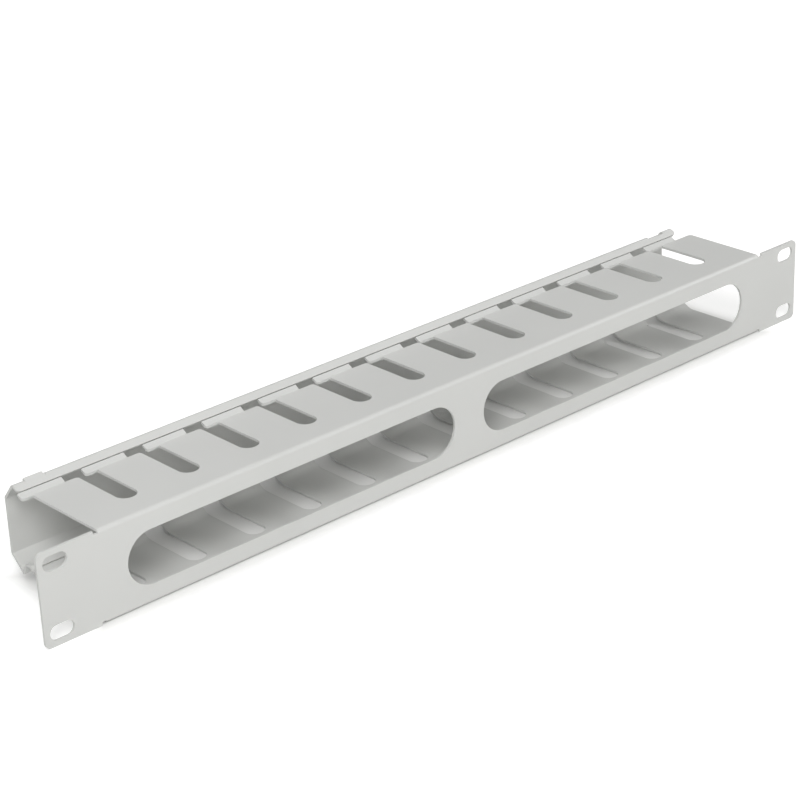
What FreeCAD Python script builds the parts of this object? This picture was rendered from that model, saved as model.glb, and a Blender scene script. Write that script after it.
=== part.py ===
import FreeCAD, Part

import math
import os

import Sketcher

# Horizontal cable manager, one rack unit high: a folded sheet panel with two rows of fingers
# around a duct, and a folded sheet cover that closes the fingers' far side.
# +X runs along the panel, +Y from the rack rails into the duct, +Z up.
# The origin is the middle of the four rack holes, on the face that bears on the rack rails.

doc = FreeCAD.newDocument("cable_manager")

# ---------------------------------------------------------------- driving sizes, mm and degrees
SIZES = [
    # sheet and folds
    ("sheet_thickness", 1.2),
    ("bend_radius", 0.6),         # inside radius of the panel's folds
    ("lip_bend_radius", 0.8),     # inside radius where a lip leaves its finger
    ("rise_bend_radius", 8.0),    # inside radius where a lower finger turns up
    # rack panel and ears
    ("hole_spacing_wide", 465.1),
    ("hole_spacing_high", 31.75),
    ("hole_length", 12.0),
    ("hole_width", 7.0),
    ("hole_to_side", 8.75),       # hole's middle to the ear's outer edge
    ("hole_to_end", 6.125),       # hole's middle to the ear's upper or lower edge
    ("ear_width", 28.1),
    ("ear_corner_radius", 3.0),
    ("fold_inset", 0.2),          # folds in from the ears' upper and lower edges
    ("notch_width", 2.45),        # relief between a fold's end and its ear
    ("notch_depth", 1.5),
    ("notch_radius", 1.0),
    # cable windows
    ("window_bridge", 18.7),
    ("window_margin", 13.1),      # window's outer end in from the folds' end
    ("window_rim_high", 9.3),     # window's edge below the upper fold
    ("window_rim_low", 8.8),      # window's edge above the lower fold
    # fingers
    ("finger_depth", 46.8),       # rack face to the fold line of the lips
    ("finger_corner_radius", 1.3),
    ("last_corner_radius", 2.0),
    ("slot_count", 12),
    ("slot_width", 10.1),
    ("slot_start", 14.1),         # rack face to the slots' round ends
    # lips on the upper fingers, each reaching back over the slot at its left
    ("lip_width", 22.3),
    ("lip_overhang", 5.55),       # first lip past the end of the folds
    ("lip_setback", 12.11),       # last lip in from the end of the folds
    ("tail_depth", 0.7),          # flat part of a lip that crosses the slot
    ("lip_corner_radius", 2.0),   # near left corner of a lip, seen from above
    ("lip_length", 3.1),
    ("lip_angle", 30.0),
    # turned-up ends of the lower fingers
    ("rise_setback", 0.6),        # fold line of the rise before the lips' fold line
    ("rise_length", 9.7),
    ("rise_angle", 30.0),
    # cover
    ("cover_inset", 0.4),         # cover's end in from the first lip's end
    ("cover_overrun", 4.2),       # cover's other end past the last lip
    ("cover_bend_radius", 0.55),
    ("cover_clearance", 0.5),     # hook's end to the lips' ends
    ("seat_clearance", 0.12),     # heel's edge above the lower fingers
    ("hook_length", 4.8),
    ("hook_angle", 35.0),
    ("shoulder_run", 7.0),
    ("shoulder_drop", 8.4),
    ("chamfer_rise", 7.15),
    ("heel_reach", 6.8),          # heel past the fold line of the rise
    ("hook_corner_radius", 2.2),
    ("ridge_corner_radius", 2.0),  # ridge's right end, seen from the front
    # short curl at the left end of the heel, clear of the lower fingers' end
    ("curl_width", 2.6),
    ("curl_foot", 0.95),          # start of the curl above the heel's edge
    ("curl_lean", 2.0),
    ("curl_height", 5.85),
    ("curl_reach", 5.3),
    ("curl_drop", 2.5),
    ("curl_bend_radius", 1.0),
    # marks along the cover's ridge
    ("tab_inset", 6.1),
    ("tab_length", 9.5),
    ("tab_reach", 0.65),          # tab past the ridge, in the hook's plane
    ("tab_foot", 2.0),            # tab's root in the hook, before the ridge
    ("nick_length", 1.8),
    ("nick_depth", 1.05),
    ("dip_inset", 7.4),
    ("dip_length", 11.5),
    ("dip_cutback", 1.5),         # hook's edge before the ridge, along the dip
    ("dip_depth", 2.8),           # cut end of the shoulder below the ridge, along the dip
]

sheet = doc.addObject("Spreadsheet::Sheet", "Sizes")
for row, (alias, number) in enumerate(SIZES, start=1):
    sheet.set("A%d" % row, alias)
    sheet.set("B%d" % row, str(number))
    sheet.setAlias("B%d" % row, alias)
doc.recompute()


class Size:
    """A length, an angle or a count: its value, and the expression that ties it to the sheet."""

    def __init__(self, value, text):
        self.value = value
        self.text = text

    def __add__(self, other):
        other = as_size(other)
        return Size(self.value + other.value, "(%s + %s)" % (self.text, other.text))

    def __sub__(self, other):
        other = as_size(other)
        return Size(self.value - other.value, "(%s - %s)" % (self.text, other.text))

    def __mul__(self, other):
        other = as_size(other)
        return Size(self.value * other.value, "(%s * %s)" % (self.text, other.text))

    def __truediv__(self, other):
        other = as_size(other)
        return Size(self.value / other.value, "(%s / %s)" % (self.text, other.text))

    def __neg__(self):
        return Size(-self.value, "(0 - %s)" % self.text)


def as_size(thing):
    if isinstance(thing, Size):
        return thing
    return Size(float(thing), repr(thing))


def size(alias):
    return Size(float(sheet.get(alias)), "Sizes." + alias)


def cos(angle):
    return Size(math.cos(math.radians(angle.value)), "cos(%s)" % angle.text)


def sin(angle):
    return Size(math.sin(math.radians(angle.value)), "sin(%s)" % angle.text)


def tan(angle):
    return Size(math.tan(math.radians(angle.value)), "tan(%s)" % angle.text)


# ---------------------------------------------------------------- sketch and feature helpers
def origin_part(body, role):
    for feature in body.Origin.OriginFeatures:
        if feature.Role == role:
            return feature
    raise ValueError("no origin feature " + role)


def new_sketch(body, name, plane, offset=None):
    sketch = body.newObject("Sketcher::SketchObject", name)
    sketch.AttachmentSupport = [(origin_part(body, plane), "")]
    sketch.MapMode = "FlatFace"
    if offset is not None:
        sketch.setExpression(".AttachmentOffset.Base.z", offset.text)
    return sketch


def hold(sketch, kind, *where_and_size):
    """Add one driving dimension and tie it to the sheet."""
    *where, amount = where_and_size
    index = sketch.addConstraint(Sketcher.Constraint(kind, *where, amount.value))
    sketch.setExpression("Constraints[%d]" % index, amount.text)


def hold_point(sketch, geometry, point, place):
    hold(sketch, "DistanceX", -1, 1, geometry, point, place[0])
    hold(sketch, "DistanceY", -1, 1, geometry, point, place[1])


def vector(point):
    return FreeCAD.Vector(point[0].value, point[1].value, 0)


def outline(sketch, corners):
    """A closed outline of straight lines through the corners."""
    lines = []
    for start, end in zip(corners, corners[1:] + corners[:1]):
        lines.append(sketch.addGeometry(Part.LineSegment(vector(start), vector(end)), False))
    for line, following in zip(lines, lines[1:] + lines[:1]):
        sketch.addConstraint(Sketcher.Constraint("Coincident", line, 2, following, 1))
    for line, corner in zip(lines, corners):
        hold_point(sketch, line, 1, corner)


def obround(sketch, middle, length, width):
    """A hole with round ends, its long way along the sketch's first axis."""
    radius = width / 2
    reach = (length - width) / 2
    left = (middle[0] - reach, middle[1])
    right = (middle[0] + reach, middle[1])
    up = FreeCAD.Vector(0, radius.value, 0)
    axis = FreeCAD.Vector(0, 0, 1)
    quarter = math.pi / 2
    upper = sketch.addGeometry(Part.LineSegment(vector(left) + up, vector(right) + up), False)
    lower = sketch.addGeometry(Part.LineSegment(vector(right) - up, vector(left) - up), False)
    near = sketch.addGeometry(
        Part.ArcOfCircle(Part.Circle(vector(left), axis, radius.value), quarter, 3 * quarter), False)
    far = sketch.addGeometry(
        Part.ArcOfCircle(Part.Circle(vector(right), axis, radius.value), -quarter, quarter), False)
    sketch.addConstraint(Sketcher.Constraint("Tangent", upper, 1, near, 1))
    sketch.addConstraint(Sketcher.Constraint("Tangent", upper, 2, far, 2))
    sketch.addConstraint(Sketcher.Constraint("Tangent", lower, 1, far, 1))
    sketch.addConstraint(Sketcher.Constraint("Tangent", lower, 2, near, 2))
    sketch.addConstraint(Sketcher.Constraint("Equal", near, far))
    hold(sketch, "Radius", near, radius)
    hold_point(sketch, near, 3, left)
    hold_point(sketch, far, 3, right)


def rounded_corner(sketch, corner, radius, upper_right=False):
    """What a round takes off a piece's lower left corner, or off its upper right one."""
    inwards = Size(-1.0, "(-1)") if upper_right else Size(1.0, "1")
    middle = (corner[0] + inwards * radius, corner[1] + inwards * radius)
    first_angle = 0.0 if upper_right else math.pi
    level = (middle[0], corner[1])
    upright = (corner[0], middle[1])
    circle = Part.Circle(vector(middle), FreeCAD.Vector(0, 0, 1), radius.value)
    base = sketch.addGeometry(Part.LineSegment(vector(level), vector(corner)), False)
    side = sketch.addGeometry(Part.LineSegment(vector(corner), vector(upright)), False)
    arc = sketch.addGeometry(Part.ArcOfCircle(circle, first_angle, first_angle + math.pi / 2), False)
    sketch.addConstraint(Sketcher.Constraint("Coincident", base, 2, side, 1))
    sketch.addConstraint(Sketcher.Constraint("Tangent", side, 2, arc, 1))
    sketch.addConstraint(Sketcher.Constraint("Tangent", base, 1, arc, 2))
    sketch.addConstraint(Sketcher.Constraint("Horizontal", base))
    sketch.addConstraint(Sketcher.Constraint("Vertical", side))
    hold_point(sketch, base, 2, corner)
    hold(sketch, "Radius", arc, radius)


def open_slot(sketch, middle, start, end, width):
    """A slot with a round near end and a square far end, its long way along the second axis."""
    radius = width / 2
    centre = (middle, start + radius)
    corners = [
        (middle + radius, start + radius),
        (middle + radius, end),
        (middle - radius, end),
        (middle - radius, start + radius),
    ]
    lines = []
    for first, second in zip(corners, corners[1:]):
        lines.append(sketch.addGeometry(Part.LineSegment(vector(first), vector(second)), False))
    circle = Part.Circle(vector(centre), FreeCAD.Vector(0, 0, 1), radius.value)
    arc = sketch.addGeometry(Part.ArcOfCircle(circle, math.pi, 2 * math.pi), False)
    for line, following in zip(lines, lines[1:]):
        sketch.addConstraint(Sketcher.Constraint("Coincident", line, 2, following, 1))
    sketch.addConstraint(Sketcher.Constraint("Coincident", lines[-1], 2, arc, 1))
    sketch.addConstraint(Sketcher.Constraint("Coincident", arc, 2, lines[0], 1))
    for line, corner in zip(lines, corners):
        hold_point(sketch, line, 1, corner)
    hold_point(sketch, lines[-1], 2, corners[-1])
    hold(sketch, "DistanceY", -1, 1, arc, 3, centre[1])


def second_line(points, thickness, side):
    """The corners one sheet thickness away; side 1 is the left of the walk and -1 the right."""
    ways = [(end - start).normalize() for start, end in zip(points, points[1:])]
    normals = [FreeCAD.Vector(-way.y, way.x, 0) * side for way in ways]
    found = [points[0] + normals[0] * thickness]
    for index in range(1, len(ways)):
        mean = (normals[index - 1] + normals[index]).normalize()
        found.append(points[index] + mean * (thickness / mean.dot(normals[index])))
    found.append(points[-1] + normals[-1] * thickness)
    return found


def turns_left(points):
    """For each corner between the ends, whether the walk turns to the left there."""
    turns = []
    for before, corner, after in zip(points, points[1:], points[2:]):
        turns.append((corner - before).cross(after - corner).z > 0)
    return turns


def bent_line(sketch, points, radii):
    """Straight lines through the points, joined by an arc at each corner."""
    lines = []
    start = points[0]
    arcs = []
    for before, corner, after, radius in zip(points, points[1:], points[2:], radii):
        way_in = (corner - before).normalize()
        way_out = (after - corner).normalize()
        reach = radius.value * math.tan(way_in.getAngle(way_out) / 2)
        left = way_in.cross(way_out).z > 0
        arc_start = corner - way_in * reach
        arc_end = corner + way_out * reach
        normal = FreeCAD.Vector(-way_in.y, way_in.x, 0) * (1 if left else -1)
        centre = arc_start + normal * radius.value
        circle = Part.Circle(centre, FreeCAD.Vector(0, 0, 1), radius.value)
        first, last = (arc_start, arc_end) if left else (arc_end, arc_start)
        angles = [math.atan2(end.y - centre.y, end.x - centre.x) for end in (first, last)]
        lines.append(sketch.addGeometry(Part.LineSegment(start, arc_start), False))
        arcs.append((sketch.addGeometry(Part.ArcOfCircle(circle, *angles), False), left, radius))
        start = arc_end
    lines.append(sketch.addGeometry(Part.LineSegment(start, points[-1]), False))
    for line, (arc, left, radius), following in zip(lines, arcs, lines[1:]):
        sketch.addConstraint(Sketcher.Constraint("Tangent", line, 2, arc, 1 if left else 2))
        sketch.addConstraint(Sketcher.Constraint("Tangent", following, 1, arc, 2 if left else 1))
        hold(sketch, "Radius", arc, radius)
    return lines


def sheet_section(sketch, corners, thickness, side, inside_radii):
    """Section of a folded sheet: one face through the corners, the other a thickness to one side."""
    points = [vector(corner) for corner in corners]
    face_radii = []
    other_radii = []
    for left, inside in zip(turns_left(points), inside_radii):
        other_is_inside = left == (side > 0)
        face_radii.append(inside + thickness if other_is_inside else inside)
        other_radii.append(inside if other_is_inside else inside + thickness)
    face = bent_line(sketch, points, face_radii)
    other = bent_line(sketch, second_line(points, thickness.value, side), other_radii)
    for end, point in ((0, 1), (-1, 2)):
        face_end = sketch.getPoint(face[end], point)
        other_end = sketch.getPoint(other[end], point)
        cap = sketch.addGeometry(Part.LineSegment(face_end, other_end), False)
        sketch.addConstraint(Sketcher.Constraint("Coincident", cap, 1, face[end], point))
        sketch.addConstraint(Sketcher.Constraint("Coincident", cap, 2, other[end], point))
        sketch.addConstraint(Sketcher.Constraint("Perpendicular", cap, face[end]))
    for face_line, other_line in zip(face, other):
        sketch.addConstraint(Sketcher.Constraint("Parallel", other_line, face_line))
        hold(sketch, "Distance", other_line, 1, face_line, thickness)
    hold_point(sketch, face[0], 1, corners[0])
    hold_point(sketch, face[-1], 2, corners[-1])
    for before, corner, after in zip(face, corners[1:-1], face[1:]):
        mark = sketch.addGeometry(Part.Point(vector(corner)), True)
        sketch.addConstraint(Sketcher.Constraint("PointOnObject", mark, 1, before))
        sketch.addConstraint(Sketcher.Constraint("PointOnObject", mark, 1, after))
        hold_point(sketch, mark, 1, corner)


def pad(body, sketch, name, length, reverse=False, both_ways=False):
    feature = body.newObject("PartDesign::Pad", name)
    feature.Profile = sketch
    feature.setExpression("Length", length.text)
    feature.Reversed = reverse
    if both_ways:
        feature.SideType = "Symmetric"
    return finish(body, feature)


def pocket(body, sketch, name, length, reverse=False, both_ways=False):
    """Cut a sketch out of the body and make sure that metal came away."""
    before = body.Shape.Volume
    feature = body.newObject("PartDesign::Pocket", name)
    feature.Profile = sketch
    feature.setExpression("Length", length.text)
    feature.Reversed = reverse
    if both_ways:
        feature.SideType = "Symmetric"
    finish(body, feature)
    if not feature.Shape.Volume < before:
        raise RuntimeError(name + " cuts nothing")
    return feature


def row(body, originals, name, pitch, count):
    """Repeat features along +X."""
    feature = body.newObject("PartDesign::LinearPattern", name)
    feature.Originals = originals
    feature.Direction = (origin_part(body, "X_Axis"), [""])
    feature.Mode = "Spacing"
    feature.setExpression("Offset", pitch.text)
    feature.setExpression("Occurrences", count.text)
    return finish(body, feature)


def round_edges(body, name, edges, radius):
    base = body.Tip
    feature = body.newObject("PartDesign::Fillet", name)
    feature.Base = (base, edges)
    feature.setExpression("Radius", radius.text)
    return finish(body, feature)


def finish(body, feature):
    body.Tip = feature
    doc.recompute()
    if "Invalid" in feature.State or "Error" in feature.State:
        raise RuntimeError(feature.Label + " failed")
    return feature


def edges_through(shape, way, places):
    """Names of the straight edges that run along one axis through any of the places.

    A place gives the two other coordinates, in x, y, z order.
    """
    others = [index for index in range(3) if index != way]
    names = []
    for number, edge in enumerate(shape.Edges, start=1):
        first = edge.Vertexes[0].Point
        last = edge.Vertexes[-1].Point
        if abs(last[way] - first[way]) < 1e-4:
            continue
        if max(abs(last[index] - first[index]) for index in others) > 1e-4:
            continue
        if any(max(abs(first[index] - at) for index, at in zip(others, place)) < 1e-3 for place in places):
            names.append("Edge%d" % number)
    return names


def edge_between(shape, first, last):
    """Name of the straight edge that joins two places."""
    ends = [FreeCAD.Vector(*[number.value for number in place]) for place in (first, last)]
    for number, edge in enumerate(shape.Edges, start=1):
        points = [edge.Vertexes[0].Point, edge.Vertexes[-1].Point]
        for one, other in (ends, ends[::-1]):
            if points[0].distanceToPoint(one) < 1e-3 and points[1].distanceToPoint(other) < 1e-3:
                return "Edge%d" % number
    raise RuntimeError("no edge between the two places")


# ---------------------------------------------------------------- rack panel
thickness = size("sheet_thickness")
half_panel = size("hole_spacing_wide") / 2 + size("hole_to_side")
half_ear = size("hole_spacing_high") / 2 + size("hole_to_end")
ear_root = half_panel - size("ear_width")
half_body = ear_root - size("notch_width")
half_fold = half_ear - size("fold_inset")
finger_depth = size("finger_depth")
rack_face = as_size(0.0)
rise_start = finger_depth - size("rise_setback")
rise_angle = size("rise_angle")

panel = doc.addObject("PartDesign::Body", "rack_panel")
panel.Label = "rack_panel"

# Plate, upper flange and lower flange with its turned-up end, as one channel.
rise_end = (
    rise_start + size("rise_length") * cos(rise_angle),
    size("rise_length") * sin(rise_angle) - half_fold,
)
channel_line = [
    rise_end,
    (rise_start, -half_fold),
    (rack_face, -half_fold),
    (rack_face, half_fold),
    (finger_depth, half_fold),
]
section = new_sketch(panel, "channel_section", "YZ_Plane")
folds = [size("rise_bend_radius"), size("bend_radius"), size("bend_radius")]
sheet_section(section, channel_line, thickness, -1, folds)
pad(panel, section, "channel", half_body * 2, both_ways=True)

# Ears, joined to the plate by a neck that clears the ends of the folds.
neck_root = half_body - size("notch_width")
half_neck = half_fold - size("notch_depth")
ears = new_sketch(panel, "ear_outlines", "XZ_Plane")
for mirrored in (False, True):
    corners = [
        (neck_root, -half_neck),
        (ear_root, -half_neck),
        (ear_root, -half_ear),
        (half_panel, -half_ear),
        (half_panel, half_ear),
        (ear_root, half_ear),
        (ear_root, half_neck),
        (neck_root, half_neck),
    ]
    if mirrored:
        corners = [(-across, height) for across, height in corners]
    outline(ears, corners)
pad(panel, ears, "ears", thickness, reverse=True)
panel_corners = []
notch_corners = []
for side in (-1, 1):
    for end in (-1, 1):
        panel_corners.append((side * half_panel.value, end * half_ear.value))
        notch_corners.append((side * ear_root.value, end * half_neck.value))
round_edges(panel, "ear_corners", edges_through(panel.Shape, 1, panel_corners), size("ear_corner_radius"))
round_edges(panel, "notch_corners", edges_through(panel.Shape, 1, notch_corners), size("notch_radius"))

# Two cable windows and four rack holes through the plate.
window_start = size("window_bridge") / 2
window_end = half_body - size("window_margin")
window_top = half_fold - size("window_rim_high")
window_base = size("window_rim_low") - half_fold
window_across = (window_start + window_end) / 2
window_up = (window_top + window_base) / 2
windows = new_sketch(panel, "window_outlines", "XZ_Plane")
for across in (-window_across, window_across):
    obround(windows, (across, window_up), window_end - window_start, window_top - window_base)
pocket(panel, windows, "windows", thickness * 2, both_ways=True)

hole_across = size("hole_spacing_wide") / 2
hole_up = size("hole_spacing_high") / 2
holes = new_sketch(panel, "hole_outlines", "XZ_Plane")
for across in (-hole_across, hole_across):
    for up in (-hole_up, hole_up):
        obround(holes, (across, up), size("hole_length"), size("hole_width"))
pocket(panel, holes, "rack_holes", thickness * 2, both_ways=True)

# Cable slots through both flanges, open at the far side, between fingers of one width.
slot_count = size("slot_count")
slot_width = size("slot_width")
slot_pitch = (half_body * 2 + slot_width) / (slot_count + 1)
first_slot = slot_pitch * (slot_count - 1) / -2
slot_end = rise_end[0] + thickness
slot = new_sketch(panel, "slot_outline", "XY_Plane")
open_slot(slot, first_slot, size("slot_start"), slot_end, slot_width)
slot_cut = pocket(panel, slot, "slot", half_ear * 4, both_ways=True)
row(panel, [slot_cut], "slots", slot_pitch, slot_count)

# Far right corners of the upper fingers.
slot_lefts = []
for number in range(int(slot_count.value)):
    slot_left = first_slot + slot_pitch * number - slot_width / 2
    slot_lefts.append((slot_left.value, finger_depth.value))
finger_ends = edges_through(panel.Shape, 2, slot_lefts)
round_edges(panel, "finger_corners", finger_ends, size("finger_corner_radius"))
last_corner = edges_through(panel.Shape, 2, [(half_body.value, finger_depth.value)])
round_edges(panel, "last_corner", last_corner, size("last_corner_radius"))

# Lips: a flat tail along the fingers' far edge, turned up past it.
first_lip = -(half_body + size("lip_overhang"))
last_lip_end = half_body - size("lip_setback")
lip_pitch = (last_lip_end - first_lip - size("lip_width")) / slot_count
lip_count = slot_count + 1
lip_angle = size("lip_angle")
lip_tip = (
    finger_depth + size("lip_length") * cos(lip_angle),
    half_fold + size("lip_length") * sin(lip_angle),
)
lip_line = [
    (finger_depth - size("tail_depth"), half_fold),
    (finger_depth, half_fold),
    lip_tip,
]
lip_section = new_sketch(panel, "lip_section", "YZ_Plane", first_lip)
sheet_section(lip_section, lip_line, thickness, -1, [size("lip_bend_radius")])
lip = pad(panel, lip_section, "lip", size("lip_width"))
corner = new_sketch(panel, "lip_corner_outline", "XY_Plane")
rounded_corner(corner, (first_lip, lip_line[0][0]), size("lip_corner_radius"))
corner_cut = pocket(panel, corner, "lip_corner", half_ear * 4, both_ways=True)
row(panel, [lip, corner_cut], "lips", lip_pitch, lip_count)

# ---------------------------------------------------------------- cover
cover = doc.addObject("PartDesign::Body", "cover")
cover.Label = "cover"

# The hook ends just off the lips; the heel sits just above the turned-up fingers.
hook_end = (
    lip_tip[0] + size("cover_clearance") * cos(lip_angle),
    lip_tip[1] + size("cover_clearance") * sin(lip_angle),
)
hook_angle = size("hook_angle")
ridge = (
    hook_end[0] + size("hook_length") * cos(hook_angle),
    hook_end[1] + size("hook_length") * sin(hook_angle),
)
wall_top = (ridge[0] + size("shoulder_run"), ridge[1] - size("shoulder_drop"))
rise_surface = size("heel_reach") * tan(rise_angle) + thickness / cos(rise_angle) - half_fold
heel = (rise_start + size("heel_reach"), rise_surface + size("seat_clearance"))
wall_bottom = (wall_top[0], heel[1] + size("chamfer_rise"))
cover_line = [hook_end, ridge, wall_top, wall_bottom, heel]
cover_start = first_lip + size("cover_inset")
cover_end = last_lip_end + size("cover_overrun")
cover_section = new_sketch(cover, "cover_section", "YZ_Plane", cover_start)
bends = [size("cover_bend_radius")] * (len(cover_line) - 2)
sheet_section(cover_section, cover_line, thickness, -1, bends)
pad(cover, cover_section, "folded_cover", cover_end - cover_start)
hook_inner = (hook_end[0] + thickness * sin(hook_angle), hook_end[1] - thickness * cos(hook_angle))
hook_corners = [
    edge_between(cover.Shape, (across, hook_end[0], hook_end[1]), (across, hook_inner[0], hook_inner[1]))
    for across in (cover_start, cover_end)
]
round_edges(cover, "hook_corners", hook_corners, size("hook_corner_radius"))

# At the left end a short strip turns back from the heel and curls over towards the panel.
curl_top = heel[1] + size("curl_height")
curl_front = heel[0] - size("curl_lean") - size("curl_reach")
curl_start = heel[0] - size("curl_foot") * size("curl_lean") / size("curl_height")
curl_line = [
    (curl_start, heel[1] + size("curl_foot")),
    (heel[0] - size("curl_lean"), curl_top),
    (curl_front, curl_top),
    (curl_front, curl_top - size("curl_drop")),
]
curl_section = new_sketch(cover, "curl_section", "YZ_Plane", cover_start)
sheet_section(curl_section, curl_line, thickness, 1, [size("curl_bend_radius")] * 2)
pad(cover, curl_section, "curl", size("curl_width"))

# A short tab carries the hook's plane past the ridge near its left end, with a nick beside it.
tab_start = cover_start + size("tab_inset")
tab_end = tab_start + size("tab_length")
tab_root = (
    ridge[0] - size("tab_foot") * cos(hook_angle),
    ridge[1] - size("tab_foot") * sin(hook_angle),
)
tab_tip = (
    ridge[0] + size("tab_reach") * cos(hook_angle),
    ridge[1] + size("tab_reach") * sin(hook_angle),
)
tab_section = new_sketch(cover, "tab_section", "YZ_Plane", tab_start)
outline(tab_section, [
    tab_root,
    tab_tip,
    (tab_tip[0] + thickness * sin(hook_angle), tab_tip[1] - thickness * cos(hook_angle)),
    (tab_root[0] + thickness * sin(hook_angle), tab_root[1] - thickness * cos(hook_angle)),
])
pad(cover, tab_section, "tab", size("tab_length"))
nick = new_sketch(cover, "nick_outline", "XZ_Plane")
ridge_clear = ridge[1] + size("tab_reach")
outline(nick, [
    (tab_end, ridge_clear),
    (tab_end, ridge[1] - size("nick_depth") / 2),
    (tab_end + size("nick_length") / 2, ridge[1] - size("nick_depth")),
    (tab_end + size("nick_length"), ridge_clear),
])
pocket(cover, nick, "nick", wall_top[0] * 2, both_ways=True)

# Near the right end the fold of the ridge is cut away for a short way, and the end is rounded.
dip_start = cover_end - size("dip_inset") - size("dip_length")
dip = new_sketch(cover, "dip_section", "YZ_Plane", dip_start)
outline(dip, [
    (ridge[0] - size("dip_cutback"), ridge_clear),
    (ridge[0] - size("dip_cutback"), ridge[1] - size("dip_depth")),
    (wall_top[0], ridge[1] - size("dip_depth")),
    (wall_top[0], ridge_clear),
])
pocket(cover, dip, "dip", size("dip_length"), reverse=True)
ridge_end = new_sketch(cover, "ridge_end_outline", "XZ_Plane")
rounded_corner(ridge_end, (cover_end, ridge[1]), size("ridge_corner_radius"), upper_right=True)
pocket(cover, ridge_end, "ridge_end", wall_top[0] * 2, both_ways=True)

# ---------------------------------------------------------------- checks and files
doc.recompute()
for item in doc.Objects:
    if "Invalid" in item.State or "Error" in item.State:
        raise RuntimeError(item.Label + " failed")
bodies = [panel, cover]
for body in bodies:
    if body.Shape.isNull() or not body.Shape.isValid():
        raise RuntimeError(body.Label + " has no valid shape")
    if len(body.Shape.Solids) != 1:
        raise RuntimeError(body.Label + " is not one solid")

os.makedirs("parts", exist_ok=True)
for body in bodies:
    body.Shape.exportStep("parts/%s.step" % body.Label)
    box = body.Shape.BoundBox
    print("%-12s %9.1f mm3   x %.2f %.2f   y %.2f %.2f   z %.2f %.2f" % (
        body.Label, body.Shape.Volume, box.XMin, box.XMax, box.YMin, box.YMax, box.ZMin, box.ZMax))
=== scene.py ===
import math

import bpy
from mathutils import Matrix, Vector


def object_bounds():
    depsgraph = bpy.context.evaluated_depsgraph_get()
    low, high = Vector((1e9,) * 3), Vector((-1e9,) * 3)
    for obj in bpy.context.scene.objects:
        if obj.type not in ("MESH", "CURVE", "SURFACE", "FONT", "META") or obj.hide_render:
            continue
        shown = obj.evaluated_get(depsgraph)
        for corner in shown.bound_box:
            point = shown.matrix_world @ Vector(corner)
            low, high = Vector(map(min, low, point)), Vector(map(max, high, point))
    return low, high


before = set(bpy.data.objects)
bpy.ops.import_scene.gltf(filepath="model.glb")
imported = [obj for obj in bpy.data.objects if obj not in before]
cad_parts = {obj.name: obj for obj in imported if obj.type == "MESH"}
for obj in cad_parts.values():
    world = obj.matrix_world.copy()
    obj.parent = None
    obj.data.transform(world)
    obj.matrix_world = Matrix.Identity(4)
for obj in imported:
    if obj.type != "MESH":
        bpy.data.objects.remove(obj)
cad_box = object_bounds()
scene = bpy.context.scene

# Lengths are in metres.

# Powder coat. A noise has its scale (about its cells in a metre), its detail and its roughness.
GREY = (0.600, 0.604, 0.588)
SHADE_NOISE = (14.0, 3.0, 0.5)
SHADE_SPREAD = 0.015
SHADE_LOW = 0.35
SHADE_HIGH = 0.65
SHEEN_NOISE = (900.0, 2.0, 0.5)
SATIN_LOW = 0.30
SATIN_HIGH = 0.40
SHINE = 0.45
PEEL_NOISE = (1400.0, 2.0, 0.55)
PEEL_STRENGTH = 0.14
PEEL_HEIGHT = 0.00005
EDGE_ROUND = 0.00010
EDGE_SAMPLES = 6

# Floor: the object's footprint keeps its shade, the paper round it is lifted by painted light (a
# camera-only glow that lightens the object's shadow there), and far off it is white.
FLOOR_SIZE = 8.0
PAPER = (0.80, 0.80, 0.79, 1.0)
PAPER_ROUGHNESS = 0.9
PAPER_PAINTED_LIGHT = 0.36
FOOTPRINT_HALF_WIDTH = 0.212
FOOTPRINT_MIDDLE = 0.030
FOOTPRINT_HALF_DEPTH = 0.030
FOOTPRINT_EDGE_INNER = -0.004
FOOTPRINT_EDGE_OUTER = 0.012
FAR_START = 0.7
FAR_END = 1.6

# Light
WHITE = (1.0, 1.0, 1.0, 1.0)
FILL = 0.10
BACKDROP = 1.0
LAMP_DISTANCE = 2.2
LAMP_SIZE = 1.0
# name, azimuth and elevation in degrees, power in watts; azimuth 0 is in front of the panel
LAMPS = (
    ("key", -42.0, 45.0, 28.0),
    ("key_low", -42.0, 18.0, 8.3),
    ("right_low", 75.0, 18.0, 25.5),
    ("front_low", 35.0, 18.0, 2.5),
    ("left", -80.0, 45.0, 3.2),
    ("back", 180.0, 45.0, 7.2),
    ("back_high", 180.0, 68.0, 9.0),
)

# Camera
CAMERA_PLACE = (-0.66439, -0.69786, 0.44522)
CAMERA_TURN = (65.7128, 2.1878, -42.6698)
CAMERA_LENS = 102.12
CAMERA_SENSOR = 36.0


def add(tree, kind, inputs, **settings):
    """A new node. Each input takes a plain value, or a link from another node's output."""
    node = tree.nodes.new(kind)
    for name, value in settings.items():
        setattr(node, name, value)
    for key, value in inputs.items():
        if isinstance(value, bpy.types.NodeSocket):
            tree.links.new(value, node.inputs[key])
        else:
            node.inputs[key].default_value = value
    return node


def math_node(tree, operation, *values):
    """A maths node of the values, each a number or another node's output."""
    return add(tree, "ShaderNodeMath", dict(enumerate(values)), operation=operation).outputs["Value"]


def soft_step(tree, value, first, last):
    """Nothing up to the first value, one from the last value on."""
    ends = {"Value": value, "From Min": first, "From Max": last}
    return add(tree, "ShaderNodeMapRange", ends, interpolation_type="SMOOTHSTEP").outputs["Result"]


def noise(tree, place, scale, detail, roughness):
    inputs = {"Vector": place, "Scale": scale, "Detail": detail, "Roughness": roughness}
    return add(tree, "ShaderNodeTexNoise", inputs).outputs["Fac"]


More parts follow.
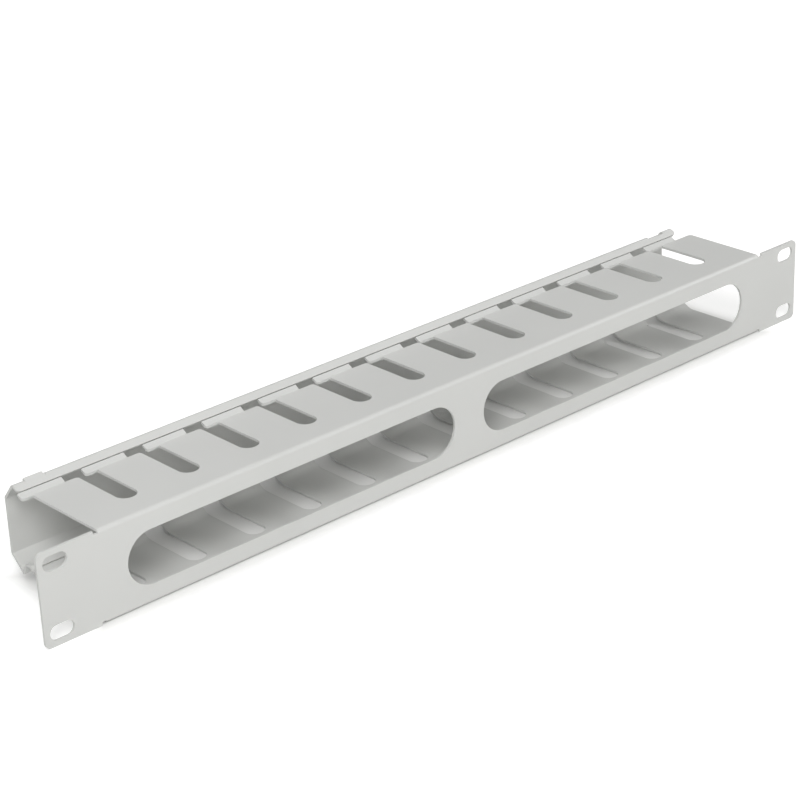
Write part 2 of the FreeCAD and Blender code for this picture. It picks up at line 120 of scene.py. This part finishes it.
def shade_ramp(tree, value, tint):
    """The tint, a little darker where the value is low and a little lighter where it is high."""
    node = add(tree, "ShaderNodeValToRGB", {"Fac": value})
    stops = ((SHADE_LOW, 1.0 - SHADE_SPREAD), (SHADE_HIGH, 1.0 + SHADE_SPREAD))
    for element, (position, factor) in zip(node.color_ramp.elements, stops):
        element.position = position
        element.color = [channel * factor for channel in tint] + [1.0]
    return node.outputs["Color"]


def powder_coat(name, tint):
    """Light grey polyester powder on steel: fine orange peel, satin, a little uneven in shade."""
    material = bpy.data.materials.new(name)
    material.use_nodes = True
    tree = material.node_tree
    shader = tree.nodes["Principled BSDF"]
    place = add(tree, "ShaderNodeTexCoord", {}).outputs["Object"]

    shade = noise(tree, place, *SHADE_NOISE)
    tree.links.new(shade_ramp(tree, shade, tint), shader.inputs["Base Color"])

    sheen = noise(tree, place, *SHEEN_NOISE)
    satin = add(tree, "ShaderNodeMapRange", {"Value": sheen, "To Min": SATIN_LOW, "To Max": SATIN_HIGH})
    tree.links.new(satin.outputs["Result"], shader.inputs["Roughness"])
    shader.inputs["Specular IOR Level"].default_value = SHINE

    # The coat rounds every cut edge a little, and lies in a fine orange peel.
    edge = add(tree, "ShaderNodeBevel", {"Radius": EDGE_ROUND}, samples=EDGE_SAMPLES)
    peel = add(tree, "ShaderNodeBump", {
        "Strength": PEEL_STRENGTH,
        "Distance": PEEL_HEIGHT,
        "Height": noise(tree, place, *PEEL_NOISE),
        "Normal": edge.outputs["Normal"],
    })
    tree.links.new(peel.outputs["Normal"], shader.inputs["Normal"])
    return material


def dress(node, material):
    node.data.materials.clear()
    node.data.materials.append(material)


def footprint_mask(tree, place):
    """Where the painted light goes: one on the open paper, nothing under the object, with a soft edge
    between.
    """
    axes = add(tree, "ShaderNodeSeparateXYZ", {"Vector": place})
    from_middle = math_node(tree, "ABSOLUTE", axes.outputs["X"])
    across = math_node(tree, "SUBTRACT", from_middle, FOOTPRINT_HALF_WIDTH)
    from_line = math_node(tree, "SUBTRACT", axes.outputs["Y"], FOOTPRINT_MIDDLE)
    along = math_node(tree, "SUBTRACT", math_node(tree, "ABSOLUTE", from_line), FOOTPRINT_HALF_DEPTH)
    past = math_node(tree, "MAXIMUM", across, along)
    return soft_step(tree, past, FOOTPRINT_EDGE_INNER, FOOTPRINT_EDGE_OUTER)


def floor_paper():
    """Pale matt paper. Seen by the camera it is lifted to white, save under the object: painted light
    that lightens the object's shadow round it and leaves the shade under it dark.
    """
    material = bpy.data.materials.new("floor_paper")
    material.use_nodes = True
    tree = material.node_tree
    paper = tree.nodes["Principled BSDF"]
    paper.inputs["Base Color"].default_value = PAPER
    paper.inputs["Roughness"].default_value = PAPER_ROUGHNESS
    paper.inputs["Specular IOR Level"].default_value = 0.0

    place = add(tree, "ShaderNodeTexCoord", {}).outputs["Object"]
    reach = add(tree, "ShaderNodeVectorMath", {0: place}, operation="LENGTH").outputs["Value"]
    # Painted light: a camera-only glow on the paper round the object, which lightens its shadow there
    # and stops at its footprint.
    painted_light_near = math_node(tree, "MULTIPLY", footprint_mask(tree, place), PAPER_PAINTED_LIGHT)
    lift = math_node(tree, "ADD", painted_light_near, soft_step(tree, reach, FAR_START, FAR_END))
    seen = add(tree, "ShaderNodeLightPath", {}).outputs["Is Camera Ray"]
    glow = add(tree, "ShaderNodeEmission", {"Strength": math_node(tree, "MULTIPLY", lift, seen)})
    both = add(tree, "ShaderNodeAddShader", {0: paper.outputs["BSDF"], 1: glow.outputs["Emission"]})
    tree.links.new(both.outputs["Shader"], tree.nodes["Material Output"].inputs["Surface"])
    return material


def lay_floor(height):
    bpy.ops.mesh.primitive_plane_add(size=FLOOR_SIZE, location=(0.0, 0.0, height))
    floor = bpy.context.object
    floor.name = "floor"
    floor.data.materials.append(floor_paper())


def studio_world():
    """A faint fill for the object; the camera sees white behind it."""
    world = bpy.data.worlds.new("studio")
    scene.world = world
    world.use_nodes = True
    tree = world.node_tree
    tree.nodes.clear()
    fill = add(tree, "ShaderNodeBackground", {"Color": WHITE, "Strength": FILL})
    backdrop = add(tree, "ShaderNodeBackground", {"Color": WHITE, "Strength": BACKDROP})
    seen = add(tree, "ShaderNodeLightPath", {}).outputs["Is Camera Ray"]
    mix = add(tree, "ShaderNodeMixShader", {
        "Fac": seen, 1: fill.outputs["Background"], 2: backdrop.outputs["Background"]})
    add(tree, "ShaderNodeOutputWorld", {"Surface": mix.outputs["Shader"]})


def softbox(name, azimuth, elevation, power):
    """A square lamp that looks at the middle of the object."""
    lamp = bpy.data.lights.new(name, "AREA")
    lamp.shape = "SQUARE"
    lamp.size = LAMP_SIZE
    lamp.energy = power
    holder = bpy.data.objects.new(name, lamp)
    scene.collection.objects.link(holder)
    turn = math.radians(azimuth)
    climb = math.radians(elevation)
    level = math.cos(climb)
    way = Vector((math.sin(turn) * level, -math.cos(turn) * level, math.sin(climb)))
    holder.location = way * LAMP_DISTANCE
    holder.rotation_euler = way.to_track_quat("Z", "Y").to_euler()


def place_camera():
    data = bpy.data.cameras.new("camera")
    data.lens = CAMERA_LENS
    data.sensor_width = CAMERA_SENSOR
    camera = bpy.data.objects.new("camera", data)
    camera.location = CAMERA_PLACE
    camera.rotation_euler = [math.radians(angle) for angle in CAMERA_TURN]
    scene.collection.objects.link(camera)
    scene.camera = camera


for piece, coat in (("rack_panel", "panel_coat"), ("cover", "cover_coat")):
    dress(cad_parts[piece], powder_coat(coat, GREY))
lay_floor(cad_box[0][2])
studio_world()
for lamp in LAMPS:
    softbox(*lamp)
place_camera()
scene.view_settings.view_transform = "Standard"
